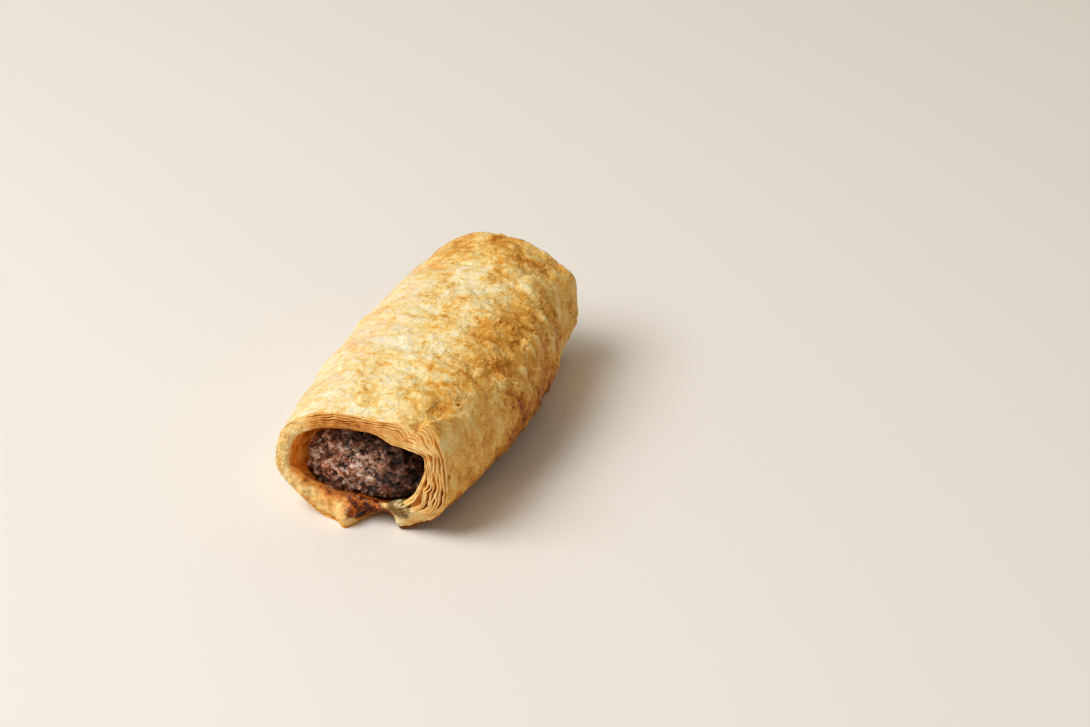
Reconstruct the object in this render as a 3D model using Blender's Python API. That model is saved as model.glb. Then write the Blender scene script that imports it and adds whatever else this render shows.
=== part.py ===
"""A baked sausage roll: a puff-pastry sleeve wrapped round a browned sausage.

The roll lies along Y, with its open mouths at -Y (near) and +Y (far), and stands on Z = 0.
The origin is the bottom centre of its box. Two closed bodies are made: the pastry sleeve, a
tube with a cut rim at each end, and the sausage that runs through it.

Every outline is a function of two numbers: the angle round the roll, counted from +X towards
+Z, and the share of the length, 0 at the near rim and 1 at the far rim.
"""

import math

import bmesh
import bpy
from mathutils import Vector, noise

MM = 0.001
NEAR, FAR = 0.0, 1.0

# Driving dimensions of the sleeve
LENGTH = 113 * MM
WAIST_HEIGHT = 17 * MM                    # height of the axis that the outlines turn about
STATIONS = (0.0, 0.25, 0.5, 0.75, 1.0)    # shares of the length where the sizes below hold
LEFT = tuple(MM * s for s in (27.8, 30.6, 31.8, 30.6, 27.6))
RIGHT = tuple(MM * s for s in (26.8, 30.2, 31.6, 28.2, 24.2))
TOP = tuple(MM * s for s in (37.2, 39.6, 40.8, 41.6, 40.8))
SINK = 2.2 * MM                           # how far the round outline would reach below the base

# Superellipse powers of the outline's quarters: 2 is an oval, more is boxier
SHOULDER_POWER = (4.2, 2.5, 2.0)          # top right, at the near mouth, the body and the far mouth
CROWN_POWER = 2.35                        # top left
UNDER_POWER = (1.85, 2.05)                # both lower quarters, at the near mouth and beyond

# The slow rise and fall of the baked surface, none of it at the base
SWELL, SWELL_PITCH, SWELL_FROM = 0.7 * MM, 15 * MM, 12 * MM

# The corner where the far mouth's top right folds down
CORNER_ANGLE, CORNER_WIDTH = math.radians(31), math.radians(13)
CORNER_HEIGHT, CORNER_SHARE = 2.6 * MM, 0.78

# The crease where the top sheet dips and the right side folds up, at the near mouth
CREASE_ANGLE = math.radians(51)           # at the rim
CREASE_TURN = math.radians(13)            # how far round it runs before it fades out
CREASE_SHARE = 0.23                       # of the length
CREASE_DEPTH, CREASE_WIDTH = 2.3 * MM, math.radians(3.2)
RIDGE_HEIGHT, RIDGE_SHARE = 3.5 * MM, 0.15
RIDGE_WIDTH, RIDGE_SPREAD = math.radians(5.2), math.radians(9)   # towards the crease, and away
RIDGE_ANGLE = math.radians(-10)           # from the crease

# The lap under the near mouth: a tab of dough, a notch beside it, and the seam behind them
LAP_TOP, LAP_BOTTOM = 9 * MM, 3 * MM      # the lap's edge has its full shape below the second
TAB_X, TAB_REACH, TAB_WIDTH = -4.8 * MM, 2.4 * MM, 2.3 * MM
TAB_RAMP, TAB_RAMP_X = 1.0 * MM, -24 * MM  # the edge stands out more and more towards the tab
NOTCH_X, NOTCH_DEPTH, NOTCH_WIDTH = 3.8 * MM, 4.4 * MM, 6.0 * MM
NOTCH_LIFT, NOTCH_RUN = 2.7 * MM, 12 * MM
FOLD_X, FOLD_DEPTH, FOLD_WIDTH = 15 * MM, 2.6 * MM, 7 * MM   # the lap's edge right of the notch
SEAM_DEPTH, SEAM_WIDTH = 0.9 * MM, 1.5 * MM

# The rims: cut edges that wander, with the leaves of the dough ending at uneven lengths
RIM_WANDER, RIM_PITCH = 0.8 * MM, 9 * MM
RIM_REACH = 9                             # power of the fade of a rim's wander along the roll
RIM_CROWN, RIM_EDGE = 1.1 * MM, 0.5 * MM  # how far the face bulges, and how far its edges stand back
LEAF_STEP, LEAVES = 0.5 * MM, 2.5

# The hollow: wide at the mouths, snug round the sausage inside
MOUTH_LEFT, MOUTH_RIGHT = 22.2 * MM, 20.0 * MM
MOUTH_ROOF, MOUTH_FLOOR = 31.8 * MM, 4.9 * MM
MOUTH_DEPTH = 26 * MM                     # how deep the gap left of the sausage goes
SNUG_DEPTH = 10 * MM                      # and the one right of it
MOUTH_POWERS = (2.2, 2.3, 2.3, 1.75)      # top right, top left, bottom left, bottom right
GAP = 0.6 * MM

# The sausage
SAUSAGE_X, SAUSAGE_Z = -1.0 * MM, 17.9 * MM
SAUSAGE_HALF = (18.4 * MM, 12.2 * MM)
SAUSAGE_LENGTH = 111 * MM
SAUSAGE_POWER = 2.25
SAUSAGE_DOME = 7.0 * MM
DOME_POWER = 2.9                          # over 2, so the ends are blunt
LUMP, LUMP_PITCH = 0.5 * MM, 4 * MM

# Grid sizes
AROUND, SAUSAGE_AROUND = 88, 40
OUTER_ROWS, INNER_ROWS, RIM_ROWS, DOME_ROWS = 22, 8, 6, 7
ANGLE_SAMPLES = 2000
SHARP_EDGE = math.radians(50)


def smooth(low, high, value):
    """0 below low, 1 above high, and an even S between them."""
    t = min(1.0, max(0.0, (value - low) / (high - low)))
    return t * t * (3 - 2 * t)


def bell(distance, width):
    return math.exp(-((distance / width) ** 2))


def plateau(distance, width):
    """A bell with a flat top and steep sides."""
    return math.exp(-((distance / width) ** 4))


def mix(a, b, share):
    return a + (b - a) * share


def through(values, share):
    """The smooth curve through the values at STATIONS."""
    total = 0.0
    for i, station in enumerate(STATIONS):
        term = values[i]
        for j, other in enumerate(STATIONS):
            if j != i:
                term *= (share - other) / (station - other)
        total += term
    return total


def superellipse(angle, half_width, half_height, power):
    """Distance from the middle to a superellipse in this direction."""
    wide = abs(math.cos(angle)) / half_width
    tall = abs(math.sin(angle)) / half_height
    return (wide**power + tall**power) ** (-1 / power)


def outline_power(angle, share):
    """The outside's power in this direction: the top right quarter is boxy at the near mouth."""
    if math.sin(angle) <= 0:
        return mix(*UNDER_POWER, smooth(0.0, 0.2, share))
    if math.cos(angle) <= 0:
        return CROWN_POWER
    near, body, far = SHOULDER_POWER
    power = mix(near, body, smooth(0.0, 0.3, share))
    return mix(power, far, smooth(0.7, 1.0, share))


def swell(x, y, z):
    height = SWELL * noise.noise(Vector((x, y, z)) / SWELL_PITCH)
    return height * smooth(0.0, SWELL_FROM, z)


def crease_angle(share):
    return CREASE_ANGLE - CREASE_TURN * smooth(0, CREASE_SHARE * 1.2, share)


def crease(angle, share):
    """Height of the crease's valley and of the ridge beside it, above the plain outline."""
    past = (angle - crease_angle(share) + math.pi) % (2 * math.pi) - math.pi
    past_ridge = past - RIDGE_ANGLE
    valley = CREASE_DEPTH * bell(past, CREASE_WIDTH)
    ridge = RIDGE_HEIGHT * bell(past_ridge, RIDGE_WIDTH if past_ridge > 0 else RIDGE_SPREAD)
    valley *= 1 - smooth(CREASE_SHARE * 0.35, CREASE_SHARE, share)
    return ridge * (1 - smooth(0, RIDGE_SHARE, share)) - valley


def lap_lift(x, y):
    """How far the underside stands off the base: the notch at the near mouth, and the seam."""
    from_near = y + LENGTH / 2
    notch = NOTCH_LIFT * plateau(x - NOTCH_X, NOTCH_WIDTH) * (1 - smooth(0, NOTCH_RUN, from_near))
    return notch + SEAM_DEPTH * bell(x - NOTCH_X, SEAM_WIDTH)


def outer(angle, share):
    """(x, z) of the sleeve's outside."""
    y = (share - 0.5) * LENGTH
    right, up = math.cos(angle), math.sin(angle)
    half_width = through(RIGHT if right > 0 else LEFT, share)
    half_height = through(TOP, share) - WAIST_HEIGHT if up > 0 else WAIST_HEIGHT + SINK
    reach = superellipse(angle, half_width, half_height, outline_power(angle, share))
    reach += CORNER_HEIGHT * bell(angle - CORNER_ANGLE, CORNER_WIDTH) * smooth(CORNER_SHARE, 1, share)
    reach += swell(reach * right, y, WAIST_HEIGHT + reach * up)
    x, z = reach * right, WAIST_HEIGHT + reach * up + crease(angle, share)
    return x, max(z, lap_lift(x, y) * smooth(LAP_TOP, LAP_BOTTOM, z))


def hollow(angle, share):
    """(x, z) of the sleeve's inside."""
    to_mouth = min(share, 1 - share) * LENGTH
    right, up = math.cos(angle), math.sin(angle)
    depth = mix(MOUTH_DEPTH, SNUG_DEPTH, smooth(-0.6, 0.3, right))
    snug = smooth(0.05 * depth, depth, to_mouth)
    wide = mix(MOUTH_RIGHT if right > 0 else MOUTH_LEFT, SAUSAGE_HALF[0] + GAP, snug)
    roof = mix(MOUTH_ROOF - SAUSAGE_Z, SAUSAGE_HALF[1] + GAP, snug)
    floor = mix(SAUSAGE_Z - MOUTH_FLOOR, SAUSAGE_HALF[1] + GAP, snug)
    quarter = int(angle / (math.pi / 2)) % 4
    power = mix(MOUTH_POWERS[quarter], SAUSAGE_POWER, snug)
    reach = superellipse(angle, wide, roof if up > 0 else floor, power)
    return SAUSAGE_X + reach * right, SAUSAGE_Z + reach * up


def rim_offset(x, z, end, depth):
    """How far the cut edge stands in (+) or out (-) of its plane. depth is 0 inside, 1 outside."""
    wander = RIM_WANDER * noise.noise(Vector((x, LENGTH * end, z)) / RIM_PITCH)
    if end == FAR:
        return wander
    ramp = TAB_RAMP * smooth(TAB_RAMP_X, TAB_X, x) * smooth(NOTCH_X, TAB_X, x)
    tab = ramp + TAB_REACH * bell(x - TAB_X, TAB_WIDTH) * smooth(0.1, 0.6, depth)
    notch = NOTCH_DEPTH * plateau(x - NOTCH_X, NOTCH_WIDTH)
    fold = FOLD_DEPTH * bell(x - FOLD_X, FOLD_WIDTH) * smooth(0.0, 1.0, depth)
    return wander + smooth(LAP_TOP, LAP_BOTTOM, z) * (notch + fold - tab)


def station(angle, share, depth):
    """A point of the sleeve: depth 1 is its outside, 0 its inside."""
    inside, outside = hollow(angle, share), outer(angle, share)
    x, z = mix(inside[0], outside[0], depth), mix(inside[1], outside[1], depth)
    y = (share - 0.5) * LENGTH
    y += rim_offset(x, z, NEAR, depth) * (1 - share) ** RIM_REACH
    y -= rim_offset(x, z, FAR, depth) * share**RIM_REACH
    return Vector((x, y, z))


def rim_ring(end, depth):
    """A ring of a rim's face, which bulges and is stepped by the leaves of the dough."""
    face = math.sin(depth * math.pi) ** 0.5
    step = LEAF_STEP * math.cos(depth * 2 * LEAVES * math.pi)
    into_roll = RIM_EDGE - face * (RIM_CROWN + step)
    lift = Vector((0, into_roll if end == NEAR else -into_roll, 0))
    return [station(angle, end, depth) + lift for angle in angles(AROUND, end)]


def ring(share, depth):
    return [station(angle, share, depth) for angle in angles(AROUND, share)]


def angles(count, share):
    """Angles round the roll, closer together at the crease and under the tab and notch."""
    crowded = (
        (crease_angle(share) + RIDGE_ANGLE / 2, math.radians(9), 4.5),
        (math.radians(268), math.radians(19), 1.8),
    )
    weights = []
    for i in range(ANGLE_SAMPLES):
        angle = 2 * math.pi * i / ANGLE_SAMPLES
        weights.append(1 + sum(gain * bell(angle - at, width) for at, width, gain in crowded))
    whole, run, found = sum(weights), 0.0, []
    for i, weight in enumerate(weights):
        if run >= whole * len(found) / count:
            found.append(2 * math.pi * i / ANGLE_SAMPLES)
        run += weight
    return found[:count]


def end_weighted(count):
    """Shares of the length from just behind one rim to just before the other, dense at both."""
    return [0.5 - 0.5 * math.cos(math.pi * (i + 0.6) / (count + 0.2)) for i in range(count)]


def skin(name, rings, material, poles=None):
    """A closed body through the rings: the last ring joins the first, or each end has a pole."""
    mesh = bpy.data.meshes.new(name)
    bm = bmesh.new()
    loops = [[bm.verts.new(point) for point in points] for points in rings]
    count = len(loops[0])
    pairs = list(zip(loops, loops[1:]))
    if poles is None:
        pairs.append((loops[-1], loops[0]))
    for here, after in pairs:
        for i in range(count):
            j = (i + 1) % count
            bm.faces.new((here[i], here[j], after[j], after[i]))
    if poles is not None:
        for pole, loop in zip(poles, (loops[0], loops[-1])):
            tip = bm.verts.new(pole)
            for i in range(count):
                bm.faces.new((tip, loop[i], loop[(i + 1) % count]))
    bmesh.ops.recalc_face_normals(bm, faces=bm.faces)
    bm.to_mesh(mesh)
    bm.free()
    mesh.shade_smooth()
    mesh.set_sharp_from_angle(angle=SHARP_EDGE)
    mesh.materials.append(material)
    made = bpy.data.objects.new(name, mesh)
    bpy.context.scene.collection.objects.link(made)
    return made


def food_material(name, colour, roughness):
    material = bpy.data.materials.new(name)
    material.use_nodes = True
    shader = material.node_tree.nodes["Principled BSDF"]
    shader.inputs["Base Color"].default_value = (*colour, 1)
    shader.inputs["Roughness"].default_value = roughness
    shader.inputs["Metallic"].default_value = 0
    return material


def make_sleeve():
    """The sleeve's rings run along the outside, over the far rim, back inside and over the near."""
    depths = [0.97 - 0.94 * i / (RIM_ROWS - 1) for i in range(RIM_ROWS)]
    rings = [ring(share, 1) for share in end_weighted(OUTER_ROWS)]
    rings += [rim_ring(FAR, depth) for depth in depths]
    rings += [ring(share, 0) for share in reversed(end_weighted(INNER_ROWS))]
    rings += [rim_ring(NEAR, depth) for depth in reversed(depths)]
    return skin("pastry", rings, food_material("baked_pastry", (0.80, 0.52, 0.20), 0.55))


def sausage_ring(y, shrink):
    points = []
    for i in range(SAUSAGE_AROUND):
        angle = 2 * math.pi * i / SAUSAGE_AROUND
        right, up = math.cos(angle), math.sin(angle)
        reach = shrink * superellipse(angle, *SAUSAGE_HALF, SAUSAGE_POWER)
        pit = noise.noise(Vector((reach * right, y, reach * up)) / LUMP_PITCH) - 1
        reach += LUMP * pit * (1 - shrink**4) / 2
        points.append(Vector((SAUSAGE_X + reach * right, y, SAUSAGE_Z + reach * up)))
    return points


def make_sausage():
    """A rod of minced meat with a rounded, slightly knobbly end at each mouth."""
    half = SAUSAGE_LENGTH / 2
    dome = []
    for i in range(1, DOME_ROWS + 1):
        turn = math.pi / 2 * i / DOME_ROWS
        back = 1 - math.cos(turn) ** (2 / DOME_POWER)
        dome.append((half - SAUSAGE_DOME * back, math.sin(turn) ** (2 / DOME_POWER)))
    near = [sausage_ring(-y, shrink) for y, shrink in dome]
    far = [sausage_ring(y, shrink) for y, shrink in reversed(dome)]
    tips = [Vector((SAUSAGE_X, side * half, SAUSAGE_Z)) for side in (-1, 1)]
    meat = food_material("browned_meat", (0.16, 0.085, 0.055), 0.6)
    return skin("sausage", near + far, meat, poles=tips)


def centre_on_base(parts):
    """Moves the parts together, so that the origin is the bottom centre of their box."""
    points = [vertex.co for part in parts for vertex in part.data.vertices]
    middle = [(min(p[k] for p in points) + max(p[k] for p in points)) / 2 for k in (0, 1)]
    base = bpy.data.objects.new("base_centre", None)
    bpy.context.scene.collection.objects.link(base)
    base.location = (-middle[0], -middle[1], 0)
    for part in parts:
        part.parent = base


def main():
    for old in list(bpy.data.objects):
        bpy.data.objects.remove(old)
    centre_on_base([make_sleeve(), make_sausage()])


main()
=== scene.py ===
"""The looks of a baked sausage roll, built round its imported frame.

The pastry is replaced by two finer pieces on the same outlines, the baked crust and the layered
rims with the hollow, and the sausage by the browned meat. Outlines are functions of the angle
round the roll, from +X towards +Z, and the share of its length, 0 at the near rim and 1 at the
far rim. Sizes are in millimetres in the roll's own frame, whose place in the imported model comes
from the sausage's box, until skin() turns them into a mesh.
"""

import math

import bpy
import numpy as np
from mathutils import Matrix, Vector, noise


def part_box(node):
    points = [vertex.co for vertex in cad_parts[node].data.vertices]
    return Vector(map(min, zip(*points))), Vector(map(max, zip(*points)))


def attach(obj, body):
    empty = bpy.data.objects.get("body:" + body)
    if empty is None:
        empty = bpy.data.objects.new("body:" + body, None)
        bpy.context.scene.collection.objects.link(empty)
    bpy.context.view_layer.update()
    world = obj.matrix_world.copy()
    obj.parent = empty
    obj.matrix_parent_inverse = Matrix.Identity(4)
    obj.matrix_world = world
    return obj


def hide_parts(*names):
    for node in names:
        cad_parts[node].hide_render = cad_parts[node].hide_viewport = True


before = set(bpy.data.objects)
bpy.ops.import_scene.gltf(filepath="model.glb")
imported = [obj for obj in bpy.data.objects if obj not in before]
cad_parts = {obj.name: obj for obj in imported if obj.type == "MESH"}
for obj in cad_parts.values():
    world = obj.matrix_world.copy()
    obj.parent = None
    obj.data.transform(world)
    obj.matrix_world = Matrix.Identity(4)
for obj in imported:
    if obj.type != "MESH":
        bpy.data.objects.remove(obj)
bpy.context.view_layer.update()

MM = 0.001
NEAR, FAR = 0.0, 1.0

# The sleeve, as it was built but for a softer crease and the near mouth's bent edge
LENGTH = 113.0
WAIST_HEIGHT = 17.0
STATIONS = (0.0, 0.25, 0.5, 0.75, 1.0)
LEFT = (27.8, 30.6, 31.8, 30.6, 27.6)
RIGHT = (26.8, 30.2, 31.6, 28.2, 24.2)
TOP = (37.2, 39.6, 40.8, 41.6, 40.8)
SINK = 2.2
SHOULDER_POWER = (4.2, 2.5, 2.0)
CROWN_POWER = 2.35
UNDER_POWER = (1.85, 2.05)
SWELL, SWELL_PITCH, SWELL_FROM = 0.7, 15.0, 12.0
CORNER_ANGLE, CORNER_WIDTH = math.radians(31), math.radians(13)
CORNER_HEIGHT, CORNER_SHARE = 2.6, 0.78
CREASE_ANGLE, CREASE_TURN = math.radians(49), math.radians(11)
CREASE_SHARE = 0.23
CREASE_DEPTH, CREASE_WIDTH = 2.3, math.radians(3.2)
RIDGE_HEIGHT, RIDGE_SHARE, RIDGE_ANGLE = 3.5, 0.15, math.radians(-9)
RIDGE_WIDTH, RIDGE_SPREAD = math.radians(5.2), math.radians(9)
CREASE_EASE = 0.12             # share of the length over which the crease softens
LAP_TOP, LAP_BOTTOM = 9.0, 3.0
TAB_X, TAB_REACH, TAB_WIDTH = -4.8, 2.4, 2.3
TAB_RAMP, TAB_RAMP_X = 1.0, -24.0
NOTCH_X, NOTCH_DEPTH, NOTCH_WIDTH = 3.8, 4.4, 6.0
NOTCH_LIFT, NOTCH_RUN = 1.7, 12.0
FOLD_X, FOLD_DEPTH, FOLD_WIDTH = 15.0, 2.6, 7.0
SEAM_DEPTH, SEAM_WIDTH = 0.9, 1.5
FLAP_X, FLAP_REACH, FLAP_WIDTH = 10.2, 1.0, 1.1
RIM_WANDER, RIM_PITCH, RIM_REACH = 0.8, 9.0, 9
MOUTH_LEFT, MOUTH_RIGHT = 22.2, 20.0
MOUTH_ROOF, MOUTH_FLOOR = 31.8, 4.9
MOUTH_DEPTH, SNUG_DEPTH = 26.0, 10.0
MOUTH_POWERS = (2.2, 2.3, 2.3, 1.75)
GAP = 0.6
MOUTH_BENDS = (                # how far the near mouth's edge bends out, in mm, at angles in degrees
    (-171, 0.3), (-163, -2.4), (-150, -3.2), (-136, -3.0), (-99, -4.2), (-60, -2.4),
    (-34, -1.2), (-3, -1.9), (7, -0.4), (16, 1.5), (26, 3.6), (35, 1.3),
    (47, -1.1), (64, 0.0), (143, -0.5), (166, 0.0),
)
BEND_SOFT, BEND_DEPTH = 3.0, 8.0

# The sausage, as it was built
SAUSAGE_X, SAUSAGE_Z = -1.0, 17.9
SAUSAGE_HALF = (18.4, 12.2)
SAUSAGE_LENGTH, SAUSAGE_POWER = 111.0, 2.25
SAUSAGE_DOME, DOME_POWER = 7.0, 2.9
CAP_SWELL, CAP_SWELL_ANGLE, CAP_SWELL_WIDTH = 0.15, math.radians(212), math.radians(36)

# Where columns of points crowd together round the roll
CREASE_CROWD = math.radians(9)
TAB_ANGLE, TAB_CROWD = math.radians(268), math.radians(19)

# Where the roll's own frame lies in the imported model, in metres
low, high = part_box("sausage")
ROLL = (low + high) / 2 - Vector((SAUSAGE_X, 0, SAUSAGE_Z)) * MM


# ---------------------------------------------------------------- curves and noise


def smooth(low_end, high_end, value):
    """0 below low_end, 1 above high_end, and an even S between them."""
    t = np.clip((value - low_end) / (high_end - low_end), 0, 1)
    return t * t * (3 - 2 * t)


def bell(distance, width):
    return np.exp(-((distance / width) ** 2))


def plateau(distance, width):
    """A bell with a flat top and steep sides."""
    return np.exp(-((distance / width) ** 4))


def mix(a, b, share):
    return a + (b - a) * share


def turn(angle):
    """The same angle, between -180 and 180 degrees."""
    return (angle + np.pi) % (2 * np.pi) - np.pi


def between(angle, start, end, soft=8):
    """1 where the angle lies from start to end, in degrees, fading over soft degrees."""
    middle, half = np.radians((start + end) / 2), np.radians((end - start) / 2)
    return 1 - smooth(half - np.radians(soft), half + np.radians(soft), abs(turn(angle - middle)))


def hashed(cell, seed):
    """A number from 0 to 1 for each whole-number cell."""
    n = cell[..., 0] * 374761393 + cell[..., 1] * 668265263 + cell[..., 2] * 1440662683
    n = (n + seed * 1013904223) & 0xFFFFFFFF
    n = ((n ^ (n >> 13)) * 1274126177) & 0xFFFFFFFF
    n = ((n ^ (n >> 16)) * 2246822519) & 0xFFFFFFFF
    return (n ^ (n >> 15)) / 4294967296.0


def ripple(points, pitch, seed=0):
    """Smooth noise, about -1 to 1, with bumps about one pitch apart. pitch may differ by axis."""
    spot = points / pitch
    cell = np.floor(spot).astype(np.int64)
    part = spot - cell
    ease = part**3 * (part * (part * 6 - 15) + 10)
    total = np.zeros(points.shape[:-1])
    for corner in np.ndindex(2, 2, 2):
        weight = np.prod(np.where(corner, ease, 1 - ease), axis=-1)
        for k in range(3):
            total += weight * (hashed(cell + corner, seed * 3 + k) * 2 - 1) * (part[..., k] - corner[k])
    return total * 1.7


def rough(points, pitch, octaves, seed=0):
    """Ripples on ripples, each half as wide and about half as high as the last."""
    total, height = 0.0, 1.0
    for k in range(octaves):
        total = total + height * ripple(points, np.asarray(pitch) / 2**k, seed + 17 * k)
        height *= 0.52
    return total


def lumps(points, pitch, seed=0):
    """Distance to the nearest of scattered seeds, how near the edge between two, and a number each."""
    spot = points / pitch
    cell = np.floor(spot).astype(np.int64)
    first = np.full(points.shape[:-1], 9.0)
    second, owner = first.copy(), first.copy()
    for step in np.ndindex(3, 3, 3):
        near = cell + np.array(step) - 1
        away = np.stack([near[..., k] + hashed(near, seed * 7 + k) - spot[..., k] for k in range(3)], -1)
        gap = np.sqrt((away**2).sum(-1))
        closer = gap < first
        second = np.where(closer, first, np.minimum(second, gap))
        owner = np.where(closer, hashed(near, seed * 7 + 5), owner)
        first = np.where(closer, gap, first)
    return first, second - first, owner


# ---------------------------------------------------------------- outlines of the roll


def through(values, share):
    """The smooth curve through the values at STATIONS."""
    total = 0.0
    for i, station in enumerate(STATIONS):
        term = values[i]
        for j, other in enumerate(STATIONS):
            if j != i:
                term = term * (share - other) / (station - other)
        total = total + term
    return total


def superellipse(angle, half_width, half_height, power):
    wide = abs(np.cos(angle)) / half_width
    tall = abs(np.sin(angle)) / half_height
    return (wide**power + tall**power) ** (-1 / power)


def swell(x, y, z):
    """The slow rise and fall of the baked surface, the same as the frame's."""
    spots = np.stack(np.broadcast_arrays(x, y, z), -1) / SWELL_PITCH
    height = np.array([noise.noise(Vector(spot)) for spot in spots.reshape(-1, 3)])
    return SWELL * height.reshape(spots.shape[:-1]) * smooth(0.0, SWELL_FROM, z)


def crease_angle(share):
    return CREASE_ANGLE - CREASE_TURN * smooth(0, CREASE_SHARE * 1.2, share)


def crease(angle, share):
    past = turn(angle - crease_angle(share))
    past_ridge = past - RIDGE_ANGLE
    away = smooth(0.0, CREASE_EASE, share)
    valley = CREASE_DEPTH * (1 - 0.45 * away) * bell(past, CREASE_WIDTH * (1 + 1.2 * away))
    ridge = RIDGE_HEIGHT * bell(past_ridge, np.where(past_ridge > 0, RIDGE_WIDTH, RIDGE_SPREAD))
    valley = valley * (1 - smooth(CREASE_SHARE * 0.35, CREASE_SHARE, share))
    return ridge * (1 - smooth(0, RIDGE_SHARE, share)) - valley


def lap_lift(x, y):
    from_near = y + LENGTH / 2
    notch = NOTCH_LIFT * plateau(x - NOTCH_X, NOTCH_WIDTH) * (1 - smooth(0, NOTCH_RUN, from_near))
    return notch + SEAM_DEPTH * bell(x - NOTCH_X, SEAM_WIDTH)


def outer(angle, share):
    """(x, z) of the sleeve's outside."""
    angle, share = np.broadcast_arrays(angle, share)
    y = (share - 0.5) * LENGTH
    right, up = np.cos(angle), np.sin(angle)
    half_width = np.where(right > 0, through(RIGHT, share), through(LEFT, share))
    half_height = np.where(up > 0, through(TOP, share) - WAIST_HEIGHT, WAIST_HEIGHT + SINK)
    near, body, far = SHOULDER_POWER
    shoulder = mix(mix(near, body, smooth(0.0, 0.3, share)), far, smooth(0.7, 1.0, share))
    under = mix(*UNDER_POWER, smooth(0.0, 0.2, share))
    power = np.where(up <= 0, under, np.where(right <= 0, CROWN_POWER, shoulder))
    reach = superellipse(angle, half_width, half_height, power)
    corner = bell(turn(angle - CORNER_ANGLE), CORNER_WIDTH) * smooth(CORNER_SHARE, 1, share)
    reach = reach + CORNER_HEIGHT * corner
    reach = reach + swell(reach * right, y, WAIST_HEIGHT + reach * up)
    x, z = reach * right, WAIST_HEIGHT + reach * up + crease(angle, share)
    return x, np.maximum(z, lap_lift(x, y) * smooth(LAP_TOP, LAP_BOTTOM, z))


def to_mouth(share):
    """How far into the roll, from the nearer rim."""
    return np.minimum(share, 1 - share) * LENGTH


def hollow(angle, share):
    """(x, z) of the sleeve's inside."""
    angle, share = np.broadcast_arrays(angle, share)
    right, up = np.cos(angle), np.sin(angle)
    depth = mix(MOUTH_DEPTH, SNUG_DEPTH, smooth(-0.6, 0.3, right))
    snug = smooth(0.05 * depth, depth, to_mouth(share))
    wide = mix(np.where(right > 0, MOUTH_RIGHT, MOUTH_LEFT), SAUSAGE_HALF[0] + GAP, snug)
    roof = mix(MOUTH_ROOF - SAUSAGE_Z, SAUSAGE_HALF[1] + GAP, snug)
    floor = mix(SAUSAGE_Z - MOUTH_FLOOR, SAUSAGE_HALF[1] + GAP, snug)
    quarter = (angle % (2 * np.pi) / (np.pi / 2)).astype(int) % 4
    power = mix(np.array(MOUTH_POWERS)[quarter], SAUSAGE_POWER, snug)
    reach = superellipse(angle, wide, np.where(up > 0, roof, floor), power)
    reach = reach + bends(angle) * smooth(BEND_DEPTH, 0.0, share * LENGTH)
    return SAUSAGE_X + reach * right, SAUSAGE_Z + reach * up


def bends(angle):
    """The near mouth's bends, eased over a few degrees."""
    degrees, sizes = zip(*MOUTH_BENDS)
    offsets = np.linspace(-BEND_SOFT, BEND_SOFT, 7)
    return sum(np.interp(np.degrees(angle) + step, degrees, sizes, period=360) for step in offsets) / 7


def rim_offset(x, z, end, depth):
    """How far the cut edge stands in (+) or out (-) of its plane. depth is 0 inside, 1 outside."""
    x, z, depth = np.broadcast_arrays(x, z, depth)
    spots = np.stack([x, np.full(x.shape, LENGTH * end), z], -1) / RIM_PITCH
    wander = RIM_WANDER * np.array([noise.noise(Vector(s)) for s in spots.reshape(-1, 3)]).reshape(x.shape)
    if end == FAR:
        return wander
    ramp = TAB_RAMP * smooth(TAB_RAMP_X, TAB_X, x) * smooth(NOTCH_X, TAB_X, x)
    tab = ramp + TAB_REACH * bell(x - TAB_X, TAB_WIDTH) * smooth(0.1, 0.6, depth)
    notch = NOTCH_DEPTH * plateau(x - NOTCH_X, NOTCH_WIDTH)
    fold = FOLD_DEPTH * bell(x - FOLD_X, FOLD_WIDTH) * smooth(0.0, 1.0, depth)
    flap = FLAP_REACH * bell(x - FLAP_X, FLAP_WIDTH) * smooth(0.3, 0.7, depth)
    return wander + smooth(LAP_TOP, LAP_BOTTOM, z) * (notch + fold - tab - flap)


def angles(count, share):
    """Angles round the roll: close together at the crease and over the top, wide apart below."""
    fine = np.linspace(0, 2 * np.pi, 4001)
    weight = 0.45 + 0.75 * smooth(-0.75, 0.1, np.sin(fine))
    weight += 1.2 * bell(turn(fine - crease_angle(share) - RIDGE_ANGLE / 2), CREASE_CROWD)
    weight += 0.5 * bell(turn(fine - TAB_ANGLE), TAB_CROWD)
    run = np.concatenate([[0], np.cumsum((weight[1:] + weight[:-1]) / 2)])
    return np.interp(np.arange(count) / count * run[-1], run, fine)


# ---------------------------------------------------------------- meshes


def normals_of(points, faces):
    """Each point's normal, from the quads round it."""
    a, b, c, d = (points[faces[:, k]] for k in range(4))
    across = np.cross(c - a, d - b)
    total = np.zeros_like(points)
    for k in range(4):
        np.add.at(total, faces[:, k], across)
    return total / np.maximum(np.linalg.norm(total, axis=1, keepdims=True), 1e-12)


def grid_faces(rows, columns, closed_rows):
    """Quads of a grid whose columns close up, and whose rows do if closed_rows."""
    row = np.arange(rows if closed_rows else rows - 1)[:, None]
    column = np.arange(columns)[None, :]
    after, beside = (row + 1) % rows, (column + 1) % columns
    quads = (
        row * columns + column, row * columns + beside,
        after * columns + beside, after * columns + column,
    )
    return np.stack(np.broadcast_arrays(*quads), -1).reshape(-1, 4)


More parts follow.
